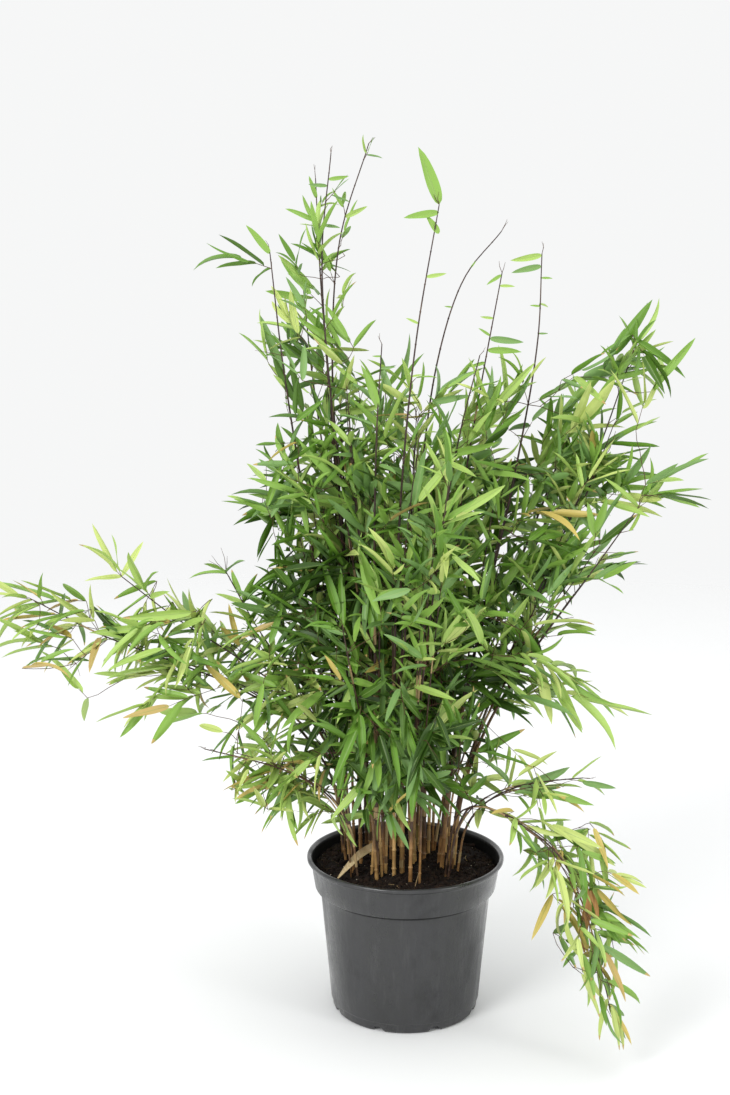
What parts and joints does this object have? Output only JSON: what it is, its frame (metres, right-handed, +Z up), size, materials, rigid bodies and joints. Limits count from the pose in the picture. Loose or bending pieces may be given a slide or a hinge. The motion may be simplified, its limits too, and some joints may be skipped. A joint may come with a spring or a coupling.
{
  "type": "potted clumping bamboo",
  "caption": "Clumping bamboo with thin leaning canes and sprays of narrow green leaves, standing in a round black plastic nursery pot of soil.",
  "frame": {"origin": "centre of the pot's flat underside, on the surface it stands on", "axes": "+Z up through the pot's axis; +X to the right and +Y away from a viewer who sees the drooping cane low on the right"},
  "size_m": [0.7878, 0.3719, 0.9924],
  "materials": {
    "pot": "satin",
    "soil": "rough and crumbly",
    "canes": "smooth, half gloss",
    "side_canes": "smooth, half gloss",
    "leaves": "satin"
  },
  "bodies": {
    "root": {"cane_arching": "canes", "cane_back_lean": "canes", "cane_back_right": "canes", "cane_bare_right": "canes", "cane_core_1": "canes", "cane_core_2": "canes", "cane_core_3": "canes", "cane_droop_falling": "side_canes", "cane_droop_rising": "side_canes", "cane_fan_back": "canes", "cane_fan_crest": "canes", "cane_fan_low": "canes", "cane_front_lean": "canes", "cane_leaf_topped": "canes", "cane_left_edge": "canes", "cane_left_inner": "canes", "cane_long_arm": "side_canes", "cane_lower_arm": "side_canes", "cane_middle_left": "canes", "cane_right_inner": "canes", "cane_short_arm": "side_canes", "cane_side_arm": "side_canes", "cane_slim_right": "canes", "cane_spire_left": "canes", "cane_spire_middle": "canes", "cane_spire_right": "canes", "cane_upper_arm": "side_canes", "leaves_arching_tip": "leaves", "leaves_arm_middle": "leaves", "leaves_arm_root": "leaves", "leaves_arm_tip": "leaves", "leaves_arm_under_leaves": "leaves", "leaves_back_crown": "leaves", "leaves_back_skirt": "leaves", "leaves_droop_lower": "leaves", "leaves_droop_upper": "leaves", "leaves_fan_crown": "leaves", "leaves_fan_heart": "leaves", "leaves_fan_outer": "leaves", "leaves_fan_tip": "leaves", "leaves_fan_tuft": "leaves", "leaves_front_crown": "leaves", "leaves_front_skirt": "leaves", "leaves_left_flank": "leaves", "leaves_left_heart": "leaves", "leaves_left_tuft": "leaves", "leaves_middle_crown": "leaves", "leaves_middle_heart": "leaves", "leaves_middle_skirt": "leaves", "leaves_middle_tip": "leaves", "leaves_right_crown": "leaves", "leaves_right_heart": "leaves", "leaves_right_tip": "leaves", "leaves_side_tuft": "leaves", "leaves_spire_crown": "leaves", "leaves_spire_side": "leaves", "leaves_spire_tip": "leaves", "leaves_topmost_leaf": "leaves", "pot": "pot", "soil": "soil"}
  },
  "joints": []
}
